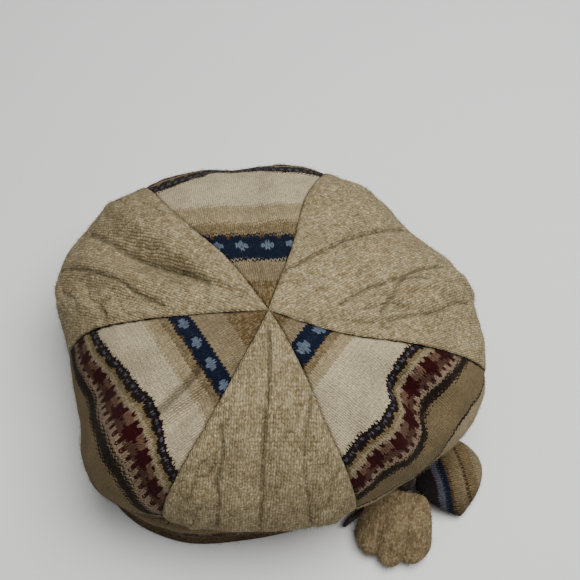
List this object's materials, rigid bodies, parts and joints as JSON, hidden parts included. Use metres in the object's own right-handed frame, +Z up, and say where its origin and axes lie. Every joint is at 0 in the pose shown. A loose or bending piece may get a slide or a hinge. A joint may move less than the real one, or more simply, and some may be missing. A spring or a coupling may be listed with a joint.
{
  "type": "patchwork beanie",
  "caption": "Soft knitted beanie of wedge panels joined at the crown, with a band, a cloth flower and an open hollow for the head.",
  "frame": {"origin": "middle of the space the hat takes up in plan, on the surface that the band's rolled edge rests on", "axes": "+Z up through the crown, +X to the hat's right as the picture shows it, +Y away from the viewer, so the flower is at +X -Y"},
  "size_m": [0.2556, 0.2344, 0.1205],
  "materials": {
    "cable_knit": "felted oatmeal wool",
    "fair_isle_knit": "felted cream wool with stripes",
    "band_knit": "felted brown and maroon wool",
    "oatmeal_petal": "felted oatmeal wool",
    "striped_petal": "felted striped wool",
    "dark_knit": "felted dark wool"
  },
  "bodies": {
    "root": {"panel_right_cable": "cable_knit", "panel_back_fair_isle": "fair_isle_knit", "panel_left_cable": "cable_knit", "panel_front_left_fair_isle": "fair_isle_knit", "panel_front_cable": "cable_knit", "panel_front_right_fair_isle": "fair_isle_knit", "band": "band_knit", "flower_heart": "dark_knit", "petal_oatmeal": "oatmeal_petal", "petal_striped": "striped_petal", "petal_dark": "dark_knit"}
  },
  "joints": []
}
